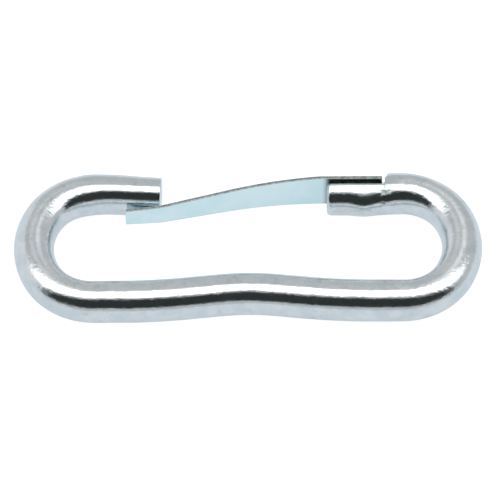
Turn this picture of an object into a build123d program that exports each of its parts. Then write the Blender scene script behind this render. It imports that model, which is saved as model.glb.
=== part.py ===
from build123d import *
from math import cos, radians, sin, tan
import os

# A snap hook bent from one round steel bar, closed by a riveted flat-spring latch.
# The hook lies flat: its mid-plane is level at half the bar's diameter, the table is z = 0,
# +X runs from the hook bow to the eye bow and +Y points out through the throat.
# The origin is the bottom centre of the whole hook.  Millimetres and degrees.

# Round bar
BAR_D = 10.0
BAR_R = BAR_D / 2
MID_Z = BAR_R

# Bows: both legs lie LEG_Y from the centre line, and each bow is corner, end, corner
OVERALL_L = 111.0
LEG_Y = 16.0
CORNER_R = 13.8
CORNER_ARC = 62.0

# Back leg: a gentle waist that rises into the loop halfway along
WAIST_ANGLE = 6.6
WAIST_MID_R = 58.0
WAIST_SIDE_R = 148.0
WAIST_FLAT = 6.7

# Nose: it dips a little towards its sawn end
NOSE_DIP = 3.6
NOSE_DIP_R = 90.0
NOSE_END_X = -20.6
NOSE_TAPER = 0.5
NOSE_TAPER_L = 13.0

# Seat: the other bar end pressed half flat, up to a slanted shoulder
SEAT_END_X = 18.8
SEAT_Y = LEG_Y + 1.15
SEAT_HALF_W = 4.7
SEAT_EDGE_R = 1.1
SEAT_SIDE_R = 4.3
BEVEL_SEAT_W = 3.2
BEVEL_SIDE_W = 4.92
BEVEL_DROP = 2.0
BEVEL_OVERRUN = 0.4
SHOULDER_X = 32.6
SHOULDER_LEAN = 1.3
SWELL_X = 27.5
SWELL_HALF_L = 4.0
TONGUE_TAIL_X = 35.5
TONGUE_TAIL_R = 4.4
TONGUE_DEPTHS = {SEAT_END_X: 5.4, SWELL_X - SWELL_HALF_L: 5.45, SWELL_X: 6.0, SWELL_X + SWELL_HALF_L: 5.2}
TONGUE_TAIL_DEPTH = 4.85

# Leaf spring: the radii follow the face that lies on the seat
LEAF_T = 0.8
LEAF_ROOT_X = 32.0
LEAF_TIP_X = -29.0
LEAF_ROOT_HALF_W = 4.8
LEAF_TIP_HALF_W = 2.4
TAPER_START_X = 16.8
LIFT_OFF_X = 17.7
KINK_R = 15.0
KINK = 3.0
BLADE_R = 116.0
BLADE_ARC = 10.8
BLADE_FLAT = 15.7
TIP_BEND_R = 8.0
TIP_BEND = 8.0
FLEX_X = 12.8
FLEX_GAP = 0.3
TIP_PLAY = 0.06

# Rivet
RIVET_X = SWELL_X
RIVET_D = 3.0
RIVET_HEAD_D = 6.0
RIVET_HEAD_H = 1.1
RIVET_TAIL_D = 4.4
RIVET_TAIL_H = 0.8
RIVET_TAIL_PROUD = 0.04


def end_radius():
    """Radius of the middle arc of a bow, so that three tangent arcs join both legs."""
    corner_share = 2 * CORNER_R * (1 - cos(radians(CORNER_ARC)))
    return (2 * LEG_Y - corner_share) / (2 * cos(radians(CORNER_ARC)))


def leg_end_x():
    """Where a leg turns tangentially into its bow."""
    reach = CORNER_R * sin(radians(CORNER_ARC)) + end_radius() * (1 - sin(radians(CORNER_ARC)))
    return OVERALL_L / 2 - BAR_R - reach


def crest_y():
    """Height of the bar's axis at the middle of the waist."""
    arcs = (WAIST_MID_R + WAIST_SIDE_R) * (1 - cos(radians(WAIST_ANGLE)))
    return -LEG_Y + arcs + WAIST_FLAT * sin(radians(WAIST_ANGLE))


def straight(edge, length):
    """A straight run that leaves an edge tangentially."""
    return Line(edge @ 1, (edge @ 1) + (edge % 1) * length)


def waist_and_bow(side):
    """Half of the bar's axis: from the waist's crest round one bow to the throat leg.

    side is +1 for the eye bow and -1 for the hook bow; the bar turns towards the throat.
    """
    crest = JernArc((0, crest_y(), MID_Z), (side, 0, 0), WAIST_MID_R, -side * WAIST_ANGLE)
    slope = straight(crest, WAIST_FLAT)
    dip = JernArc(slope @ 1, slope % 1, WAIST_SIDE_R, side * WAIST_ANGLE)
    leg = straight(dip, leg_end_x() - abs((dip @ 1).X))
    corner = JernArc(leg @ 1, leg % 1, CORNER_R, side * CORNER_ARC)
    end = JernArc(corner @ 1, corner % 1, end_radius(), side * (180 - 2 * CORNER_ARC))
    return_corner = JernArc(end @ 1, end % 1, CORNER_R, side * CORNER_ARC)
    return [crest, slope, dip, leg, corner, end, return_corner]


def bar_axis():
    """The whole axis of the bar, from the nose's end to the seat's shoulder."""
    hook_side = waist_and_bow(-1)
    dip = JernArc(hook_side[-1] @ 1, hook_side[-1] % 1, NOSE_DIP_R, -NOSE_DIP)
    nose = straight(dip, (NOSE_END_X - (dip @ 1).X) / cos(radians(NOSE_DIP)))
    eye_side = waist_and_bow(1)
    shoulder_run = straight(eye_side[-1], (eye_side[-1] @ 1).X - SHOULDER_X)
    return Wire([*hook_side, dip, nose, *eye_side, shoulder_run])


def tongue_section(x, depth, side_r):
    """Half-flat section of the pressed bar end at x, with depth below the bar's axis."""
    rise = SEAT_Y - LEG_Y
    plane = Plane(origin=(x, LEG_Y, MID_Z), x_dir=(0, 1, 0), z_dir=(1, 0, 0))
    outline = Pos((rise - depth) / 2, 0) * Rectangle(rise + depth, 2 * SEAT_HALF_W)
    by_height = outline.vertices().sort_by(Axis.X)
    outline = fillet(by_height[:2], side_r)
    seat_corners = outline.vertices().sort_by(Axis.X)[-2:]
    return plane * fillet(seat_corners, SEAT_EDGE_R)


def tongue():
    """The pressed bar end: flat towards the latch, and swollen round the rivet towards the loop."""
    sections = [tongue_section(x, depth, SEAT_SIDE_R) for x, depth in TONGUE_DEPTHS.items()]
    sections.append(tongue_section(TONGUE_TAIL_X, TONGUE_TAIL_DEPTH, TONGUE_TAIL_R))
    return loft(sections)


def seat_bevels():
    """Wedges off both long edges of the seat, where the press drew the metal in."""
    plane = Plane(origin=(SEAT_END_X - 1, LEG_Y, MID_Z), x_dir=(0, 1, 0), z_dir=(1, 0, 0))
    seat_u = SEAT_Y - LEG_Y
    slope = (BEVEL_SIDE_W - BEVEL_SEAT_W) / BEVEL_DROP
    low = (seat_u - BEVEL_DROP - BEVEL_OVERRUN, BEVEL_SIDE_W + BEVEL_OVERRUN * slope)
    high = (seat_u + BEVEL_OVERRUN, BEVEL_SEAT_W - BEVEL_OVERRUN * slope)
    wedge = make_face(Polyline(low, high, (high[0], BAR_D), (low[0], BAR_D), close=True))
    upper = extrude(plane * wedge, SHOULDER_X - SEAT_END_X + 1)
    return upper + mirror(upper, Plane.XY.offset(MID_Z))


def shoulder_notch():
    """What the press removes above the seat, with the shoulder's lean."""
    top = LEG_Y + BAR_D
    start = SHOULDER_X - 2 * BAR_D
    top_x = SHOULDER_X + SHOULDER_LEAN * (top - SEAT_Y) / (LEG_Y + BAR_R - SEAT_Y)
    outline = Polyline((start, SEAT_Y), (SHOULDER_X, SEAT_Y), (top_x, top), (start, top), close=True)
    return extrude(make_face(outline), BAR_D)


def leaf_face_line(offset):
    """Edges of the leaf at a distance outside its seat face, from the root to the tip."""
    seat = Line((LEAF_ROOT_X, SEAT_Y + offset), (LIFT_OFF_X, SEAT_Y + offset))
    kink = JernArc(seat @ 1, seat % 1, KINK_R + offset, KINK)
    blade = JernArc(kink @ 1, kink % 1, BLADE_R + offset, BLADE_ARC)
    flat = straight(blade, BLADE_FLAT)
    bend = JernArc(flat @ 1, flat % 1, TIP_BEND_R - offset, -TIP_BEND)
    tip = straight(bend, ((bend @ 1).X - LEAF_TIP_X) / cos(radians(tip_slope())))
    return [seat, kink, blade, flat, bend, tip]


def tip_slope():
    """Angle between the leaf's tip and the X axis."""
    return KINK + BLADE_ARC - TIP_BEND


def leaf_side():
    """Side view of the leaf as a face."""
    inner = leaf_face_line(0)
    outer = leaf_face_line(LEAF_T)
    ends = [Line(inner[0] @ 0, outer[0] @ 0), Line(inner[-1] @ 1, outer[-1] @ 1)]
    return make_face(Wire([*inner, *outer, *ends]))


def leaf_plan():
    """Front view of the leaf: parallel over the seat, then tapered to the tip."""
    return make_face(
        Polyline(
            (LEAF_ROOT_X, MID_Z + LEAF_ROOT_HALF_W),
            (TAPER_START_X, MID_Z + LEAF_ROOT_HALF_W),
            (LEAF_TIP_X - 1, MID_Z + LEAF_TIP_HALF_W),
            (LEAF_TIP_X - 1, MID_Z - LEAF_TIP_HALF_W),
            (TAPER_START_X, MID_Z - LEAF_ROOT_HALF_W),
            (LEAF_ROOT_X, MID_Z - LEAF_ROOT_HALF_W),
            close=True,
        )
    )


def leaf():
    """The whole leaf spring in one piece, before the rivet hole."""
    side = extrude(leaf_side(), BAR_D)
    plan = extrude(Plane.XZ * leaf_plan(), -2 * LEG_Y)
    return side & plan


def along_y(y):
    """Local frame on the rivet's axis, with its own Z along +Y."""
    return Plane(origin=(RIVET_X, y, MID_Z), x_dir=(1, 0, 0), z_dir=(0, 1, 0))


def rivet():
    """Rivet across the seat: low domed head outside, countersunk tail inside the loop."""
    bottom = (Align.CENTER, Align.CENTER, Align.MIN)
    tail_y = LEG_Y - TONGUE_DEPTHS[SWELL_X] - RIVET_TAIL_PROUD
    head_y = SEAT_Y + LEAF_T
    head_r = RIVET_HEAD_D / 2
    dome_r = (head_r**2 + RIVET_HEAD_H**2) / (2 * RIVET_HEAD_H)
    tail = along_y(tail_y) * Cone(RIVET_TAIL_D / 2, RIVET_D / 2, RIVET_TAIL_H, align=bottom)
    shank = along_y(tail_y) * Cylinder(RIVET_D / 2, head_y - tail_y + RIVET_HEAD_H / 2, align=bottom)
    dome = along_y(head_y + RIVET_HEAD_H - dome_r) * Sphere(dome_r)
    head = along_y(head_y) * Cylinder(head_r + 1, RIVET_HEAD_H, align=bottom) & dome
    return tail + shank + head


def tip_relief():
    """Wedge dressed off the nose's inner corner, so that the latch tip lies flat on it."""
    line = leaf_face_line(LEAF_T + TIP_PLAY)
    start = (line[-1] @ 0) - (line[-1] % 0) * BAR_D
    stop = line[-1] @ 1
    low = Vector(0, -BAR_D)
    return extrude(make_face(Polyline(start, stop, stop + low, start + low, close=True)), BAR_D)


def nose_taper():
    """Thin wedge dressed off the nose's outer side, so that it slims towards its end."""
    axis = bar_axis()
    nose_end = min(axis @ 0, axis @ 1, key=lambda point: point.X)
    slope = NOSE_TAPER / NOSE_TAPER_L + tan(radians(NOSE_DIP))
    low_y = nose_end.Y + BAR_R - NOSE_TAPER
    start_x = NOSE_END_X - NOSE_TAPER_L
    low_end = (NOSE_END_X + BAR_R, low_y - slope * BAR_R)
    low_start = (start_x, low_y + slope * NOSE_TAPER_L)
    top_y = LEG_Y + BAR_D
    outline = Polyline(low_start, low_end, (NOSE_END_X + BAR_R, top_y), (start_x, top_y), close=True)
    return extrude(make_face(outline), BAR_D)


def hook_body(the_rivet):
    """Bent bar with the nose, the waist, both bows, the shoulder and the pressed seat."""
    axis = bar_axis()
    start = Plane(origin=axis @ 0, z_dir=axis % 0)
    bar = sweep(start * Circle(BAR_R), path=axis)
    body = bar - shoulder_notch() - nose_taper() - tip_relief() + tongue()
    return body - seat_bevels() - the_rivet


def flex_cut():
    """Thin slot that parts the fixed root of the leaf from its moving blade."""
    return Pos(FLEX_X, LEG_Y, MID_Z) * Box(FLEX_GAP, BAR_D, BAR_D + 2)


def main():
    os.makedirs("parts", exist_ok=True)
    the_rivet = rivet()
    export_step(hook_body(the_rivet), "parts/hook_body.step")
    halves = (leaf() - the_rivet - flex_cut()).solids().sort_by(Axis.X)
    export_step(halves[0], "parts/latch_blade.step")
    export_step(halves[-1], "parts/latch_root.step")
    export_step(the_rivet, "parts/latch_rivet.step")


main()
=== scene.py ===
from math import acos, ceil, cos, pi, radians, sin, sqrt, tan

import bmesh
import bpy
from mathutils import Matrix, Vector, noise


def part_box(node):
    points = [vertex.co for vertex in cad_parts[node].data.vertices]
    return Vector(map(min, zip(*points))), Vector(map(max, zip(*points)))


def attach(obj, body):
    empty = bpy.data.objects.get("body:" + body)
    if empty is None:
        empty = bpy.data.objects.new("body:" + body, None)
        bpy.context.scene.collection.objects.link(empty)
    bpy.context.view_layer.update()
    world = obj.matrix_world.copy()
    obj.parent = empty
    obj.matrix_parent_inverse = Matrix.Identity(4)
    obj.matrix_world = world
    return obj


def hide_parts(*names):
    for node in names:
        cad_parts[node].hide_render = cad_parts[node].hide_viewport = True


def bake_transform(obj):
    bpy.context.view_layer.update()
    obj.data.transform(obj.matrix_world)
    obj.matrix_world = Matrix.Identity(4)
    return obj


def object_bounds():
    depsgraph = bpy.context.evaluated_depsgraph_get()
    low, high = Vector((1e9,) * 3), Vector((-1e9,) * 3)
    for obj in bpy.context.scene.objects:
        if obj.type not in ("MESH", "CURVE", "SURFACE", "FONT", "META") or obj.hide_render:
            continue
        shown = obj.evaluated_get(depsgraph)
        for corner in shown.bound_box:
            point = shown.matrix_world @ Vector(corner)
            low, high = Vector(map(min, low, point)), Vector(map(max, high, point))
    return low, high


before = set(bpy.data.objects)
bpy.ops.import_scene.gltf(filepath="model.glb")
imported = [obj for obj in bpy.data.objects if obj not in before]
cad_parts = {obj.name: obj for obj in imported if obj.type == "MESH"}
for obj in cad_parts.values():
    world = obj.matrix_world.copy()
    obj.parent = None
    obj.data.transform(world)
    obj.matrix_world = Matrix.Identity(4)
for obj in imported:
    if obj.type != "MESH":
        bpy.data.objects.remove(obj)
cad_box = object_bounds()

MM = 0.001
TAU = 2 * pi

# ---------------------------------------------------------------- sizes, in millimetres

hook_low, hook_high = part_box("hook_body")
root_low, root_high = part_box("latch_root")
rivet_low, rivet_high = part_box("latch_rivet")

# Round bar and its bows
BAR_R = (hook_high.z - hook_low.z) / 2 / MM
MID_Z = BAR_R
HALF_L = 111.0 / 2
LEG_Y = hook_high.y / MM - BAR_R
CORNER_R = 13.8
CORNER_ARC = 62.0
END_R = (LEG_Y - CORNER_R * (1 - cos(radians(CORNER_ARC)))) / cos(radians(CORNER_ARC))
LEG_END_X = HALF_L - BAR_R - CORNER_R * sin(radians(CORNER_ARC)) - END_R * (1 - sin(radians(CORNER_ARC)))
BOW_OUTER = 0.975
BOW_INNER = 0.935
BEND_LEAD = 4.0
BEND_RAMP = 14.0

# Waist of the back leg
WAIST_ANGLE = 6.6
WAIST_MID_R = 58.0
WAIST_SIDE_R = 148.0
WAIST_FLAT = 6.7

# Nose
NOSE_DIP = 3.6
NOSE_DIP_R = 90.0
NOSE_END_X = -20.6
NOSE_EDGE_R = 0.45
NOSE_TAPER = 0.5
NOSE_TAPER_L = 13.0
NOSE_INNER = 4.4
NOSE_INNER_RAMP = 6.0
NOSE_DRESS_L = 9.0

# Pressed seat at the bar's other end
SEAT_END_X = 18.8
SEAT_RISE = root_low.y / MM - LEG_Y
SEAT_LIFT = 0.15
SEAT_BEVEL = 3.175
SEAT_BEVEL_ANGLE = 49.3
CLEAR_R = 5.7
SWELL_X = 27.5
SWELL_HALF_L = 4.2
SWELL = 0.6
TONGUE_DEPTH = 5.4
PRESS_START_X = 35.5
PRESS_END_X = 31.5
SHOULDER_X = 32.6
SHOULDER_LEAN = 1.3
SHOULDER_EDGE_R = 0.4
SHOULDER_FADE = 3
APPROACH_GAP = 0.6
APPROACH_COUNT = 8
SEAT_RING_STEP = 0.35
SEAT_END_EDGE_R = 1.1
SEAT_END_SIZE = 3.6

# Torn metal at the shoulder; the spot is in metres
TORN_SPOT = (0.0328, (LEG_Y - 2.6) * MM, 0.0092)
TORN_SHIFT = 0.2
TORN_REACH = 1.2
TORN_FADE = 1.8
TORN_DEPTH = 0.2

# Uneven surfaces: width, depth and seed of the bumps
WAVES = (7.0, 0.03, 0.0)
RIPPLES = (2.2, 0.014, 5.0)
WAVES_SUNK = 0.03
TORN_LUMPS = (0.8, 0.12, 3.0)
TORN_SUNK = 0.05
TORN_TEETH = (0.9, 0.25, 9.0)
HAMMER_MARKS = (1.1, 0.05, 0.0)

# Leaf spring
LEAF_T = 0.8
LEAF_ROOT_X = root_high.x / MM
LEAF_TIP_X = -29.0
LEAF_ROOT_HALF_W = 4.8
LEAF_TIP_HALF_W = 2.4
TAPER_START_X = 16.8
TAPER_END_X = -30.0
LIFT_OFF_X = 17.7
KINK_R = 15.0
KINK = 3.0
BLADE_R = 116.0
BLADE_ARC = 10.8
BLADE_FLAT = 15.7
TIP_BEND_R = 8.0
TIP_BEND = 8.0
LEAF_EDGE_R = 0.14
TIP_PLAY = 0.06
LEAF_STEP = 0.4

# Rivet
RIVET_X = (rivet_low.x + rivet_high.x) / 2 / MM
RIVET_R = 1.5
RIVET_HEAD_R = (rivet_high.x - rivet_low.x) / 2 / MM
RIVET_POLE_R = 0.02
RIVET_FOOT = 4.4
RIVET_NECK = 0.3
RIVET_RIM_H = 0.1
RIVET_RIM_IN = 0.15
DOME_START = 8

# Radius of the tail's rings, and how proud of the swollen seat they stand
RIVET_TAIL = ((0.02, 0.03), (0.7, 0.03), (1.3, 0.03), (1.8, 0.02), (2.05, 0.0), (2.2, -0.1))

# Steps of the meshes
GIRTH_POINTS = 144
RIVET_POINTS = 64
RING_STEP = 0.45
ROUND_STEPS = 6
DOME_STEPS = 12
ARC_STEPS = 4
WIDTH_STEPS = 16
THICKNESS_STEPS = 2
SHOULDER_SHARES = (0, 0.15, 0.17, 0.2, 0.24, 0.3, 0.4, 0.5, 0.6, 0.7, 0.8, 0.9, 1)
BAR_CLOSING = (0.93, 0.84, 0.74, 0.63, 0.51, 0.38, 0.24, 0.1)
STRIP_CLOSING = (0.8, 0.5, 0.2)
EDGE_SHARPNESS = 26
LEAST_COSINE = 0.02
TINY = 1e-6


# ---------------------------------------------------------------- lines and rings


def smooth(t):
    """Smooth step from 0 to 1."""
    t = min(1.0, max(0.0, t))
    return t * t * (3 - 2 * t)


def trace(x, y, heading, runs, step):
    """Points and headings along tangent runs.

    A run is (radius, amount): amount is a signed turn in degrees, or a length where radius is 0.
    """
    line = [(x, y, heading)]
    for radius, amount in runs:
        length = abs(radians(amount)) * radius if radius else amount
        count = max(1, ceil(length / step))
        for _ in range(count):
            turn = radians(amount) / count if radius else 0.0
            chord = 2 * radius * sin(abs(turn) / 2) if radius else length / count
            x += chord * cos(heading + turn / 2)
            y += chord * sin(heading + turn / 2)
            heading += turn
            line.append((x, y, heading))
    return line


def bow_runs(side):
    """Runs from the waist's crest round one bow to its throat leg; side is +1 for the eye bow."""
    slope = WAIST_FLAT * cos(radians(WAIST_ANGLE))
    dip_x = (WAIST_MID_R + WAIST_SIDE_R) * sin(radians(WAIST_ANGLE)) + slope
    return [
        (WAIST_MID_R, -side * WAIST_ANGLE),
        (0, WAIST_FLAT),
        (WAIST_SIDE_R, side * WAIST_ANGLE),
        (0, LEG_END_X - dip_x),
        (CORNER_R, side * CORNER_ARC),
        (END_R, side * (180 - 2 * CORNER_ARC)),
        (CORNER_R, side * CORNER_ARC),
    ]


def crest_y():
    """Height of the bar's axis at the middle of the waist."""
    arcs = (WAIST_MID_R + WAIST_SIDE_R) * (1 - cos(radians(WAIST_ANGLE)))
    return -LEG_Y + arcs + WAIST_FLAT * sin(radians(WAIST_ANGLE))


def bar_line():
    """The bar's axis from the nose's end, round both bows, to the shoulder."""
    nose_drop = (NOSE_DIP_R, -NOSE_DIP)
    nose_bend_x = -LEG_END_X + NOSE_DIP_R * sin(radians(NOSE_DIP))
    nose_run = (0, (NOSE_END_X - nose_bend_x) / cos(radians(NOSE_DIP)))
    hook_side = trace(0, crest_y(), pi, bow_runs(-1) + [nose_drop, nose_run], RING_STEP)
    hook_side = [(x, y, heading + pi) for x, y, heading in reversed(hook_side)]
    eye_side = trace(0, crest_y(), 0, bow_runs(1), RING_STEP)
    return hook_side[:-1] + eye_side


def bend_share(x):
    """1 in the middle of a bow, where bending has flattened the bar, and 0 on the legs."""
    return smooth((abs(x) - LEG_END_X + BEND_LEAD) / BEND_RAMP)


def pressed(x):
    """0 on the round bar and 1 where the press has shaped it."""
    return smooth((PRESS_START_X - x) / (PRESS_START_X - PRESS_END_X))


def loop_reach(x, c):
    """Distance from the bar's axis to the pressed end's loop side; c is the cosine off that side."""
    cheek = BAR_R - SEAT_LIFT * pressed(x)
    swell = SWELL * smooth(1 - abs(x - SWELL_X) / SWELL_HALF_L)
    depth = BAR_R + (TONGUE_DEPTH - BAR_R) * pressed(x)
    c = max(0.0, c)
    return BAR_R + (cheek - BAR_R) * c + (depth - cheek) * c**3 + swell * c**5


def soft_min(values):
    """Smallest of the values, eased where two are close, so that edges come out rounded."""
    return sum(v**-EDGE_SHARPNESS for v in values) ** (-1 / EDGE_SHARPNESS)


def pressed_section(x, share):
    """Section of the throat leg at x; share is 0 on the round bar and 1 on the bevelled seat."""
    flat = CLEAR_R + (SEAT_RISE - CLEAR_R) * share
    bevel = CLEAR_R + (SEAT_BEVEL - CLEAR_R) * share
    section = []
    for a in angles():
        limits = [loop_reach(x, -cos(a))]
        slant = cos(acos(cos(a)) - radians(SEAT_BEVEL_ANGLE))
        if cos(a) > LEAST_COSINE:
            limits.append(flat / cos(a))
        if slant > LEAST_COSINE:
            limits.append(bevel / slant)
        reach = soft_min(limits)
        section.append((reach * cos(a), reach * sin(a)))
    return section


def ring_at(x, y, heading, section):
    """Places a section, a list of (outwards, sideways) points, across the bar."""
    out_x, out_y = sin(heading), -cos(heading)
    return [Vector((x + u * out_x, y + u * out_y, MID_Z + w)) for u, w in section]


def angles():
    return [TAU * i / GIRTH_POINTS for i in range(GIRTH_POINTS)]


def bow_section(share):
    """Round bar, slightly flattened in the hook's plane where it was bent."""
    outer = BAR_R * (1 + (BOW_OUTER - 1) * share)
    inner = BAR_R * (1 + (BOW_INNER - 1) * share)
    return [((outer if cos(a) > 0 else inner) * cos(a), BAR_R * sin(a)) for a in angles()]


def nose_section(x):
    """Section of the nose: slimmer on its inner side, and dressed thinner outside towards the end."""
    outer = BAR_R - NOSE_TAPER * smooth((x - NOSE_END_X + NOSE_TAPER_L) / NOSE_TAPER_L)
    bent = BAR_R * (1 + (BOW_INNER - 1) * bend_share(x))
    inner = bent + (NOSE_INNER - bent) * smooth((x + LEG_END_X + NOSE_INNER_RAMP / 2) / NOSE_INNER_RAMP)
    return [((outer if cos(a) > 0 else inner) * cos(a), BAR_R * sin(a)) for a in angles()]


def rounded_end(ring, centre, direction, radius, size):
    """Rings that round the edge of an end and close in on its centre."""
    rings = []
    for i in range(1, ROUND_STEPS + 1):
        turn = i / ROUND_STEPS * pi / 2
        shrink = 1 - radius * (1 - cos(turn)) / size
        shift = direction * radius * sin(turn)
        rings.append([centre + (p - centre) * shrink + shift for p in ring])
    flat = rings[-1]
    middle = centre + direction * radius
    for share in BAR_CLOSING:
        rings.append([middle + (p - middle) * share for p in flat])
    return rings


# ---------------------------------------------------------------- mesh helpers


def skin(name, rings, material):
    """A closed mesh through rings of points in millimetres, with its UV map in metres."""
    count = len(rings[0])
    verts = [p * MM for ring in rings for p in ring]
    first = sum(rings[0], Vector()) / count * MM
    last = sum(rings[-1], Vector()) / count * MM
    verts += [first, last]
    faces = []
    for i in range(len(rings) - 1):
        for j in range(count):
            k = (j + 1) % count
            faces.append((i * count + j, i * count + k, (i + 1) * count + k, (i + 1) * count + j))
    base = (len(rings) - 1) * count
    for j in range(count):
        k = (j + 1) % count
        faces.append((k, j, len(verts) - 2))
        faces.append((base + j, base + k, len(verts) - 1))
    mesh = bpy.data.meshes.new(name)
    mesh.from_pydata(verts, [], faces)
    add_uv(mesh, rings)
    obj = bpy.data.objects.new(name, mesh)
    bpy.context.scene.collection.objects.link(obj)
    finish_mesh(mesh)
    mesh.materials.append(material)
    return obj


def add_uv(mesh, rings):
    """UV map: distance along the piece and distance round it, in metres."""
    count = len(rings[0])
    along = [0.0]
    for a, b in zip(rings, rings[1:]):
        along.append(along[-1] + sum((p - q).length for p, q in zip(a, b)) / count * MM)
    girth = sum((rings[0][j] - rings[0][j - 1]).length for j in range(count)) * MM
    layer = mesh.uv_layers.new(name="along_and_round")
    for poly in mesh.polygons:
        columns = [v % count for v in poly.vertices if v < len(rings) * count]
        wraps = 0 in columns and count - 1 in columns
        for loop in poly.loop_indices:
            v = mesh.loops[loop].vertex_index
            if v >= len(rings) * count:
                row = 0 if v == len(rings) * count else len(rings) - 1
                column = columns[0]
            else:
                row, column = divmod(v, count)
            if wraps and column == 0:
                column = count
            layer.data[loop].uv = (along[row], column / count * girth)


def finish_mesh(mesh):
    """Outward normals and smooth shading."""
    work = bmesh.new()
    work.from_mesh(mesh)
    bmesh.ops.recalc_face_normals(work, faces=work.faces)
    work.to_mesh(mesh)
    work.free()
    for poly in mesh.polygons:
        poly.use_smooth = True


def wobble(point, size, depth, seed):
    """Small smooth offset of a point; size is the width of the bumps."""
    place = point / size + Vector((seed, -seed, 2 * seed))
    return noise.noise(place) * depth


# ---------------------------------------------------------------- materials

ZINC_GREY = (0.66, 0.71, 0.74, 1)
ZINC_PALE = (0.75, 0.78, 0.795, 1)
ZINC_WARM = (0.73, 0.73, 0.70, 1)
STAIN_BROWN = (0.56, 0.50, 0.42, 1)
TORN_GREY = (0.30, 0.36, 0.35, 1)
STRIP_BLUE = (0.68, 0.86, 0.89, 1)
STRIP_PALE = (0.76, 0.90, 0.93, 1)
# Painted shade for the strip's inner face where it stands over the seat
STRIP_PAINTED_SHADE = (0.13, 0.15, 0.105, 1)
SHEARED_DARK = (0.26, 0.26, 0.25, 1)
SHEARED_PALE = (0.52, 0.55, 0.56, 1)
RIVET_GREY = (0.62, 0.66, 0.68, 1)
RIVET_PALE = (0.76, 0.78, 0.78, 1)


class Nodes:
    """Small helper that adds and links shader nodes."""

    def __init__(self, name):
        self.material = bpy.data.materials.new(name)
        self.material.use_nodes = True
        self.tree = self.material.node_tree
        self.tree.nodes.clear()
        output = self.tree.nodes.new("ShaderNodeOutputMaterial")
        self.shader = self.tree.nodes.new("ShaderNodeBsdfPrincipled")
        self.link(self.shader.outputs["BSDF"], output.inputs["Surface"])

    def link(self, source, target):
        self.tree.links.new(source, target)

    def place(self, kind, scale):
        """Texture coordinates, scaled per axis."""
        coordinates = self.tree.nodes.new("ShaderNodeTexCoord")
        mapping = self.tree.nodes.new("ShaderNodeMapping")
        mapping.inputs["Scale"].default_value = scale
        self.link(coordinates.outputs[kind], mapping.inputs["Vector"])
        return mapping.outputs["Vector"]

    def noise(self, vector, scale, detail=4.0, roughness=0.55):
        node = self.tree.nodes.new("ShaderNodeTexNoise")
        node.inputs["Scale"].default_value = scale
        node.inputs["Detail"].default_value = detail
        node.inputs["Roughness"].default_value = roughness
        self.link(vector, node.inputs["Vector"])
        return node.outputs["Fac"]

    def spread(self, value, low, high, to_low=0, to_high=1):
        """Maps a range of values to another, smoothly."""
        node = self.tree.nodes.new("ShaderNodeMapRange")
        node.interpolation_type = "SMOOTHSTEP"
        node.inputs["From Min"].default_value = low
        node.inputs["From Max"].default_value = high
        node.inputs["To Min"].default_value = to_low
        node.inputs["To Max"].default_value = to_high
        self.link(value, node.inputs["Value"])
        return node.outputs["Result"]

    def mix(self, factor, a, b):
        node = self.tree.nodes.new("ShaderNodeMix")
        node.data_type = "RGBA"
        self.link(factor, node.inputs["Factor"])
        for value, socket in ((a, node.inputs[6]), (b, node.inputs[7])):
            if isinstance(value, tuple):
                socket.default_value = value
            else:
                self.link(value, socket)
        return node.outputs[2]

    def math(self, operation, a, b=None):
        """A math node on one or two values, each a socket or a number."""
        node = self.tree.nodes.new("ShaderNodeMath")
        node.operation = operation
        for value, socket in ((a, node.inputs[0]), (b, node.inputs[1])):
            if isinstance(value, float):
                socket.default_value = value
            elif value is not None:
                self.link(value, socket)
        return node.outputs["Value"]

    def part(self, vector, axis):
        """One component of a vector."""
        node = self.tree.nodes.new("ShaderNodeSeparateXYZ")
        self.link(vector, node.inputs["Vector"])
        return node.outputs[axis]

    def distance(self, vector, point):
        """Distance of a vector from a fixed point."""
        node = self.tree.nodes.new("ShaderNodeVectorMath")
        node.operation = "DISTANCE"
        node.inputs[1].default_value = point
        self.link(vector, node.inputs[0])
        return node.outputs["Value"]

    def bump(self, height, distance, strength, normal=None):
        node = self.tree.nodes.new("ShaderNodeBump")
        node.inputs["Distance"].default_value = distance
        if isinstance(strength, float):
            node.inputs["Strength"].default_value = strength
        else:
            self.link(strength, node.inputs["Strength"])
        self.link(height, node.inputs["Height"])
        if normal is not None:
            self.link(normal, node.inputs["Normal"])
        return node.outputs["Normal"]

    def plated(self, colour, roughness, normal):
        """Links the looks of a plated metal and hands over its material."""
        self.link(colour, self.shader.inputs["Base Color"])
        self.link(roughness, self.shader.inputs["Roughness"])
        self.link(normal, self.shader.inputs["Normal"])
        self.shader.inputs["Metallic"].default_value = 1.0
        return self.material


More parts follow.
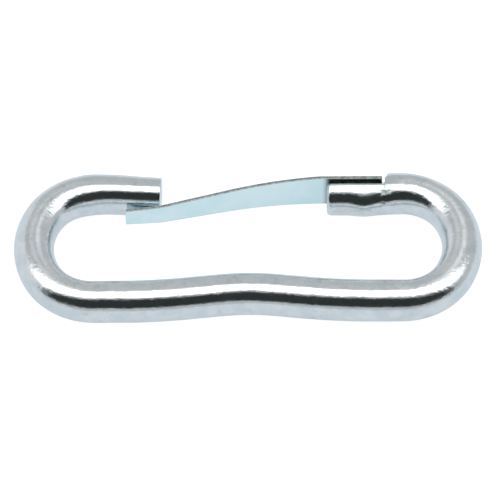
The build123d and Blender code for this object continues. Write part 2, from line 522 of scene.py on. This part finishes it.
def zinc_bar():
    """Bluish zinc plate over a drawn bar: mottled and stained, and grainier round the bends."""
    n = Nodes("zinc_on_bar")
    solid = n.place("Object", (1, 1, 1))
    lines = n.place("UV", (60, 2600, 1))
    patches = n.spread(n.noise(solid, scale=260, detail=3), 0.35, 0.7)
    warm = n.spread(n.noise(solid, scale=420, detail=5, roughness=0.6), 0.55, 0.75)
    stain = n.spread(n.noise(solid, scale=330, detail=7, roughness=0.7), 0.55, 0.70, to_high=0.45)
    ragged = n.math("MULTIPLY", n.noise(solid, scale=900, detail=5, roughness=0.7), 0.0042)
    off_spot = n.math("ADD", n.distance(solid, TORN_SPOT), ragged)
    torn = n.spread(off_spot, 0.0026, 0.0046, to_low=0.65, to_high=0)
    colour = n.mix(patches, ZINC_GREY, ZINC_PALE)
    colour = n.mix(warm, colour, ZINC_WARM)
    colour = n.mix(stain, colour, STAIN_BROWN)
    colour = n.mix(torn, colour, TORN_GREY)
    grain = n.noise(solid, scale=1700, detail=5, roughness=0.65)
    rough = n.spread(grain, 0.3, 0.75, to_low=0.08, to_high=0.19)
    bends = n.spread(n.math("ABSOLUTE", n.part(solid, "X")), 0.032, 0.048, to_high=0.45)
    drawn = n.noise(lines, scale=1, detail=3, roughness=0.5)
    dents = n.noise(solid, scale=700, detail=4, roughness=0.6)
    speckle = n.noise(solid, scale=1500, detail=3, roughness=0.6)
    tears = n.noise(solid, scale=1500, detail=4, roughness=0.7)
    normal = n.bump(drawn, distance=0.00004, strength=0.35)
    normal = n.bump(dents, distance=0.00012, strength=0.3, normal=normal)
    normal = n.bump(grain, distance=0.00006, strength=0.4, normal=normal)
    normal = n.bump(speckle, distance=0.00016, strength=bends, normal=normal)
    normal = n.bump(tears, distance=0.00025, strength=torn, normal=normal)
    return n.plated(colour, rough, normal)


def zinc_strip():
    """Bluish zinc plate over bright rolled strip: nearly a mirror, with dull sheared edges, and painted
    shade on its inner face over the seat.
    """
    n = Nodes("zinc_on_strip")
    solid = n.place("Object", (1, 1, 1))
    rolled = n.place("Object", (40, 1200, 1200))
    facing = n.place("Normal", (1, 1, 1))
    tint = n.spread(n.noise(solid, scale=90, detail=3), 0.35, 0.68)
    inner_face_shade = n.spread(n.part(facing, "Y"), -0.9, -0.5, to_low=1, to_high=0)
    by_seat = n.spread(n.part(solid, "X"), 0.0176, 0.0196, to_high=0.9)
    sheared = n.spread(n.math("ABSOLUTE", n.part(facing, "Z")), 0.55, 0.85)
    torn = n.spread(n.noise(solid, scale=1600, detail=5, roughness=0.7), 0.38, 0.62)
    colour = n.mix(tint, STRIP_BLUE, STRIP_PALE)
    # Painted shade: the strip's inner face over the seat is darkened as if in the shadow of the bar
    colour = n.mix(n.math("MULTIPLY", inner_face_shade, by_seat), colour, STRIP_PAINTED_SHADE)
    colour = n.mix(sheared, colour, n.mix(torn, SHEARED_DARK, SHEARED_PALE))
    rough = n.spread(n.noise(solid, scale=900, detail=4), 0.3, 0.7, to_low=0.10, to_high=0.19)
    lines = n.noise(rolled, scale=1, detail=3, roughness=0.5)
    normal = n.bump(lines, distance=0.00003, strength=0.2)
    normal = n.bump(n.noise(solid, scale=500, detail=3), distance=0.00006, strength=0.15, normal=normal)
    return n.plated(colour, rough, normal)


def zinc_rivet():
    """Zinc plate over a hammered rivet, duller than the bar."""
    n = Nodes("zinc_on_rivet")
    solid = n.place("Object", (1, 1, 1))
    tint = n.spread(n.noise(solid, scale=700, detail=4), 0.35, 0.68)
    rough = n.spread(n.noise(solid, scale=1800, detail=4), 0.3, 0.7, to_low=0.24, to_high=0.42)
    normal = n.bump(n.noise(solid, scale=1300, detail=4), distance=0.00008, strength=0.4)
    return n.plated(n.mix(tint, RIVET_GREY, RIVET_PALE), rough, normal)


# ---------------------------------------------------------------- the bent bar


def tip_plane():
    """Point and outward direction of the leaf tip's outer face, in millimetres."""
    x, y, heading = leaf_line()[-1]
    out = Vector((sin(heading), -cos(heading), 0))
    return Vector((x, y, 0)) + out * (LEAF_T + TIP_PLAY), out


def dress_nose(ring, point, out):
    """Flattens what would reach into the leaf's tip: the dressed inner corner of the nose."""
    dressed = []
    for p in ring:
        depth = (p - point).dot(out)
        on_nose = p.y > 0 and NOSE_END_X - NOSE_DRESS_L < p.x < 0
        dressed.append(p - out * depth if on_nose and depth < 0 else p)
    return dressed


def nose_rings(line):
    """Rings of the nose's end, from its centre outwards to the bar."""
    x, y, heading = line[0]
    back = Vector((cos(heading + pi), sin(heading + pi), 0))
    ring = ring_at(x, y, heading, nose_section(x))
    centre = Vector((x, y, MID_Z))
    inset = [p - back * NOSE_EDGE_R for p in ring]
    end = rounded_end(inset, centre - back * NOSE_EDGE_R, back, NOSE_EDGE_R, BAR_R)
    return list(reversed(end))


def shoulder_rings():
    """Rings down the slanted face where the press stopped, with its rounded top edge."""
    rings = []
    for share in SHOULDER_SHARES:
        level = CLEAR_R + (SEAT_RISE - CLEAR_R) * share
        drop = min(SHOULDER_EDGE_R, max(0.0, BAR_R - level))
        setback = SHOULDER_EDGE_R - sqrt(SHOULDER_EDGE_R**2 - (SHOULDER_EDGE_R - drop) ** 2)
        ring = []
        for u, w in pressed_section(SHOULDER_X, share):
            lift = max(0.0, (u - SEAT_RISE) / (BAR_R - SEAT_RISE))
            x = SHOULDER_X + SHOULDER_LEAN * lift + setback * min(1, lift * SHOULDER_FADE)
            ring.append(Vector((x, LEG_Y + u, MID_Z + w)))
        rings.append(ring)
    return rings


def seat_rings():
    """Rings along the pressed seat and round the bar's end."""
    rings = []
    start = SHOULDER_X - SEAT_RING_STEP
    stop = SEAT_END_X + SEAT_END_EDGE_R
    count = ceil((start - stop) / SEAT_RING_STEP)
    for i in range(count + 1):
        x = start + (stop - start) * i / count
        rings.append(ring_at(x, LEG_Y, pi, pressed_section(x, 1)))
    centre = Vector((stop, LEG_Y + (SEAT_RISE - TONGUE_DEPTH) / 2, MID_Z))
    return rings + rounded_end(rings[-1], centre, Vector((-1, 0, 0)), SEAT_END_EDGE_R, SEAT_END_SIZE)


def approach_rings():
    """Rings of the throat leg from the eye bow to the shoulder."""
    rings = []
    stop = SHOULDER_X + SHOULDER_LEAN + APPROACH_GAP
    for i in range(1, APPROACH_COUNT + 1):
        x = LEG_END_X + (stop - LEG_END_X) * i / APPROACH_COUNT
        rings.append(ring_at(x, LEG_Y, pi, pressed_section(x, 0)))
    return rings


def roughen(ring):
    """Slight waviness of the bent and plated bar, and the torn metal of the shoulder."""
    centre = sum(ring, Vector()) / len(ring)
    result = []
    for p in ring:
        out = p - centre
        away = out.normalized() if out.length > TINY else Vector((0, 0, 0))
        shift = away * (wobble(p, *WAVES) + wobble(p, *RIPPLES) - WAVES_SUNK)
        off_shoulder = abs(p.x - SHOULDER_X - TORN_SHIFT)
        near = smooth(TORN_REACH - off_shoulder / TORN_FADE) if p.y > 0 else 0.0
        if near > 0:
            shift += away * near * (wobble(p, *TORN_LUMPS) - TORN_SUNK)
            if p.y > LEG_Y + SEAT_RISE - TORN_DEPTH:
                shift.x += near * wobble(p, *TORN_TEETH)
        result.append(p + shift)
    return result


def hook_body(material):
    """The whole bar as one swept, closed mesh."""
    line = bar_line()
    rings = nose_rings(line)
    for x, y, heading in line[1:]:
        on_nose = y > 0 and -LEG_END_X - NOSE_INNER_RAMP / 2 < x < 0
        section = nose_section(x) if on_nose else bow_section(bend_share(x))
        rings.append(ring_at(x, y, heading, section))
    rings += approach_rings() + shoulder_rings() + seat_rings()
    point, out = tip_plane()
    rings = [dress_nose(roughen(ring), point, out) for ring in rings]
    obj = skin("bent_bar", rings, material)
    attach(obj, "hook")
    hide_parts("hook_body")


# ---------------------------------------------------------------- the leaf spring


def leaf_line():
    """Line of the leaf's seat face from its clamped end to its tip."""
    slope = radians(KINK + BLADE_ARC - TIP_BEND)
    runs = [
        (0, LEAF_ROOT_X - LIFT_OFF_X),
        (KINK_R, KINK),
        (BLADE_R, BLADE_ARC),
        (0, BLADE_FLAT),
        (TIP_BEND_R, -TIP_BEND),
    ]
    line = trace(LEAF_ROOT_X, LEG_Y + SEAT_RISE, pi, runs, LEAF_STEP)
    last = line[-1]
    tip = trace(*last, [(0, (last[0] - LEAF_TIP_X) / cos(slope))], LEAF_STEP)
    return line + tip[1:]


def leaf_half_width(x):
    """Half the leaf's width at x: parallel over the seat and tapered to the tip."""
    share = (TAPER_START_X - x) / (TAPER_START_X - TAPER_END_X)
    return LEAF_ROOT_HALF_W + (LEAF_TIP_HALF_W - LEAF_ROOT_HALF_W) * min(1.0, max(0.0, share))


def strip_section(half_width):
    """Rounded rectangle of the strip, as (outwards, sideways) points."""
    r = LEAF_EDGE_R
    near, far = r - half_width, half_width - r
    corners = [(LEAF_T - r, far), (r, far), (r, near), (LEAF_T - r, near)]
    arcs = []
    for quarter, (u, w) in enumerate(corners):
        turns = [pi / 2 * (quarter + i / ARC_STEPS) for i in range(ARC_STEPS + 1)]
        arcs.append([(u + r * cos(t), w + r * sin(t)) for t in turns])
    ring = []
    for quarter, arc in enumerate(arcs):
        start, stop = arc[-1], arcs[(quarter + 1) % 4][0]
        count = WIDTH_STEPS if quarter % 2 else THICKNESS_STEPS
        ring += arc
        for t in (i / count for i in range(1, count)):
            ring.append((start[0] + (stop[0] - start[0]) * t, start[1] + (stop[1] - start[1]) * t))
    return ring


def strip_inset(ring, centre, out, distance):
    """Moves a ring of the strip inwards by a distance, in thickness and in width."""
    half_width = max(abs(p.z - centre.z) for p in ring)
    result = []
    for p in ring:
        thick = (p - centre).dot(out)
        wide = p.z - centre.z
        thick_step = min(abs(thick), distance) * (1 if thick > 0 else -1)
        wide_step = min(abs(wide), distance) * (1 if wide > 0 else -1)
        moved = p.copy()
        if abs(thick) > LEAF_T / 2 - LEAF_EDGE_R - TINY:
            moved -= out * thick_step
        if abs(wide) > half_width - LEAF_EDGE_R - TINY:
            moved.z -= wide_step
        result.append(moved)
    return result


def strip_end(ring, x, y, heading, way):
    """Rings that round the edges of one end of the strip and close it; way points off the end."""
    out = Vector((sin(heading), -cos(heading), 0))
    centre = Vector((x, y, MID_Z)) + out * LEAF_T / 2
    rings = []
    for i in range(ARC_STEPS + 1):
        turn = i / ARC_STEPS * pi / 2
        inset = strip_inset(ring, centre, out, LEAF_EDGE_R * (1 - cos(turn)))
        rings.append([p - way * LEAF_EDGE_R * (1 - sin(turn)) for p in inset])
    flat = rings[-1]
    for share in STRIP_CLOSING:
        rings.append([centre + (p - centre) * share for p in flat])
    return rings


def leaf_spring(material):
    """The latch in one piece, from its clamped end over the seat to its tip, in place of the latch root
    and blade parts.
    """
    line = leaf_line()
    rings = [ring_at(x, y, h, strip_section(leaf_half_width(x))) for x, y, h in line]
    ways = [Vector((cos(h), sin(h), 0)) for _, _, h in line]
    root = strip_end(rings[0], *line[0], -ways[0])
    tip = strip_end(rings[-1], *line[-1], ways[-1])
    obj = skin("leaf_spring", root[::-1] + rings[1:-1] + tip, material)
    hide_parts("latch_root", "latch_blade")
    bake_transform(obj)


# ---------------------------------------------------------------- the rivet


def rivet_profile():
    """(radius, Y) points of the rivet's shank and its low domed head."""
    head_y = root_high_y()
    head_h = rivet_high.y / MM - head_y
    shank = [(RIVET_R, LEG_Y - RIVET_FOOT), (RIVET_R, head_y - RIVET_NECK), (RIVET_R, head_y)]
    head = [(RIVET_HEAD_R - RIVET_RIM_IN, head_y), (RIVET_HEAD_R, head_y + RIVET_RIM_H)]
    for i in range(DOME_STEPS + 1):
        turn = radians(DOME_START + (90 - DOME_START) * i / DOME_STEPS)
        head.append((RIVET_HEAD_R * cos(turn), head_y + head_h * sin(turn)))
    head[-1] = (RIVET_POLE_R, head[-1][1])
    return shank + head


def belly_y(x, w):
    """Y of the seat's loop side at x and at a height w above the middle plane."""
    c = sqrt(1 - (w / BAR_R) ** 2)
    return LEG_Y - loop_reach(x, c) * c


def root_high_y():
    """Outer face of the leaf over the seat."""
    return LEG_Y + SEAT_RISE + LEAF_T


def circle(radius):
    """Points round the rivet's axis at Y = 0."""
    turns = [TAU * i / RIVET_POINTS for i in range(RIVET_POINTS)]
    return [Vector((RIVET_X + radius * cos(t), 0, MID_Z - radius * sin(t))) for t in turns]


def latch_rivet(material):
    """Set rivet: flush tail on the loop side and a low hammered dome outside."""
    rings = []
    for radius, proud in RIVET_TAIL:
        ring = circle(radius)
        rings.append([p + Vector((0, belly_y(p.x, p.z - MID_Z) - proud, 0)) for p in ring])
    for radius, y in rivet_profile():
        ring = [p + Vector((0, y, 0)) for p in circle(radius)]
        if y > root_high_y() + RIVET_NECK:
            ring = [p + Vector((0, wobble(p, *HAMMER_MARKS), 0)) for p in ring]
        rings.append(ring)
    obj = skin("set_rivet", rings, material)
    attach(obj, "hook")
    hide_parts("latch_rivet")


# ---------------------------------------------------------------- stage, lights and camera, in metres

WHITE = (1, 1, 1, 1)
TABLE_PAINT = (0.2, 0.2, 0.2, 1)
CARD_PAINT = (0.01, 0.01, 0.01, 1)

TABLE_HALF = 6.0
TABLE_GLOW = 0.93
GLASS_Z = -0.0002
GLASS_TINT = (0.90, 0.98, 1.05, 1)
GLASS_GLOW = 0.63

# White card on the hook bow's side
BOUNCE_X = -0.9
BOUNCE_Y = (-0.2, 1.6)
BOUNCE_TOP = 0.62
BOUNCE_TINT = (0.97, 0.98, 1, 1)
BOUNCE_GLOW = 0.85

# Soft strips behind the softbox: name, side and glow
STRIPS = (("strip_right", 1, 0.95), ("strip_left", -1, 0.75))
STRIP_OUTLINE = ((0.09, 0.12), (0.28, 0.12), (0.56, 0.96), (0.13, 0.96))
STRIP_Z = 0.8

# Dark card, with its lower and upper edge as angles above the table
DARK_Y = -0.9
DARK_HALF_L = 2.6
DARK_ANGLES = (15, 64)
DARK_TINT = (0.85, 1.0, 0.95, 1)
DARK_GLOW = 0.03

SOFTBOX_PLACE = (0, -0.008, 0.6)
SOFTBOX_L = 2.0
SOFTBOX_W = 0.355
SOFTBOX_RADIANCE = 2.0
ROOM_TINT = (0.96, 0.985, 1.0, 1)
ROOM_GLOW = 0.61

CAMERA_ELEVATION = 52.0
CAMERA_ROLL = 0.28
CAMERA_DISTANCE = 1.2
CAMERA_CLIP = 0.01
SENSOR_WIDTH = 36.0
FRAME_WIDTH = 0.1182
FRAME_OFFSET = (0.00047, -0.00064)


def card(name, corners, material):
    """A flat card of the stage through four corners, in metres."""
    mesh = bpy.data.meshes.new(name)
    mesh.from_pydata(corners, [], [(0, 1, 2, 3)])
    mesh.materials.append(material)
    obj = bpy.data.objects.new(name, mesh)
    bpy.context.scene.collection.objects.link(obj)
    return obj


def glow_material(name, colour, glow, paint):
    """A card that gives its own light, as a lit table or a bounce card does."""
    n = Nodes(name)
    n.shader.inputs["Base Color"].default_value = paint
    n.shader.inputs["Roughness"].default_value = 0.9
    n.shader.inputs["Specular IOR Level"].default_value = 0.0
    n.shader.inputs["Emission Color"].default_value = colour
    n.shader.inputs["Emission Strength"].default_value = glow
    return n.material


def tables():
    """A pale lit table: the sheet that is seen, and the dimmer glass the metal mirrors."""
    half = TABLE_HALF
    square = [(-half, -half), (half, -half), (half, half), (-half, half)]
    sheet = glow_material("pale_table", WHITE, TABLE_GLOW, TABLE_PAINT)
    seen = card("floor", [(x, y, 0.0) for x, y in square], sheet)
    seen.visible_glossy = False
    seen.visible_diffuse = False
    seen.visible_shadow = False
    glass = glow_material("table_glow", GLASS_TINT, GLASS_GLOW, TABLE_PAINT)
    mirrored = card("floor_bounce", [(x, y, GLASS_Z) for x, y in square], glass)
    mirrored.visible_camera = False


def mirrored_card(name, corners, colour, glow):
    """A card that only the metal mirrors."""
    obj = card(name, corners, glow_material(name + "_face", colour, glow, CARD_PAINT))
    obj.visible_camera = False
    obj.visible_diffuse = False
    obj.visible_shadow = False


def side_cards():
    """White card on the hook bow's side, and a broad soft strip behind each side of the softbox."""
    near, far = BOUNCE_Y
    upright = [(near, 0), (far, 0), (far, BOUNCE_TOP), (near, BOUNCE_TOP)]
    mirrored_card("side_bounce", [(BOUNCE_X, y, z) for y, z in upright], BOUNCE_TINT, BOUNCE_GLOW)
    for name, side, glow in STRIPS:
        mirrored_card(name, [(side * x, y, STRIP_Z) for x, y in STRIP_OUTLINE], WHITE, glow)


def dark_card():
    """The dark opening on the camera's side, which draws the dark line along the bar."""
    low, high = (abs(DARK_Y) * tan(radians(angle)) for angle in DARK_ANGLES)
    outline = [(-DARK_HALF_L, low), (DARK_HALF_L, low), (DARK_HALF_L, high), (-DARK_HALF_L, high)]
    mirrored_card("camera_side_dark", [(x, DARK_Y, z) for x, z in outline], DARK_TINT, DARK_GLOW)


def softbox():
    """Broad soft light over the table, aimed at its middle."""
    light = bpy.data.lights.new("overhead_softbox", "AREA")
    light.shape = "RECTANGLE"
    light.size = SOFTBOX_L
    light.size_y = SOFTBOX_W
    light.energy = SOFTBOX_RADIANCE * pi * SOFTBOX_L * SOFTBOX_W
    obj = bpy.data.objects.new("overhead_softbox", light)
    obj.location = SOFTBOX_PLACE
    aim = Vector((0, 0, 0)) - Vector(SOFTBOX_PLACE)
    obj.rotation_euler = aim.to_track_quat("-Z", "Y").to_euler()
    bpy.context.scene.collection.objects.link(obj)


def room():
    """Even light from all round."""
    world = bpy.data.worlds.new("studio")
    bpy.context.scene.world = world
    world.use_nodes = True
    background = world.node_tree.nodes["Background"]
    background.inputs["Color"].default_value = ROOM_TINT
    background.inputs["Strength"].default_value = ROOM_GLOW


def camera():
    """Long lens from the loop's side, 52 degrees above the table."""
    lens = bpy.data.cameras.new("camera")
    lens.sensor_width = SENSOR_WIDTH
    lens.lens = lens.sensor_width * CAMERA_DISTANCE / FRAME_WIDTH
    lens.clip_start = CAMERA_CLIP
    obj = bpy.data.objects.new("camera", lens)
    tilt = radians(CAMERA_ELEVATION)
    back = Vector((0, -cos(tilt), sin(tilt)))
    up = Vector((0, sin(tilt), cos(tilt)))
    centre = (Vector(cad_box[0]) + Vector(cad_box[1])) / 2
    target = centre + Vector((1, 0, 0)) * FRAME_OFFSET[0] + up * FRAME_OFFSET[1]
    turn = Matrix((Vector((1, 0, 0)), up, back)).transposed()
    roll = Matrix.Rotation(-radians(CAMERA_ROLL), 3, "Z")
    obj.matrix_world = Matrix.Translation(target + back * CAMERA_DISTANCE) @ (turn @ roll).to_4x4()
    bpy.context.scene.collection.objects.link(obj)
    bpy.context.scene.camera = obj


hook_body(zinc_bar())
leaf_spring(zinc_strip())
latch_rivet(zinc_rivet())
tables()
dark_card()
side_cards()
softbox()
room()
bpy.context.scene.view_settings.view_transform = "Standard"
camera()
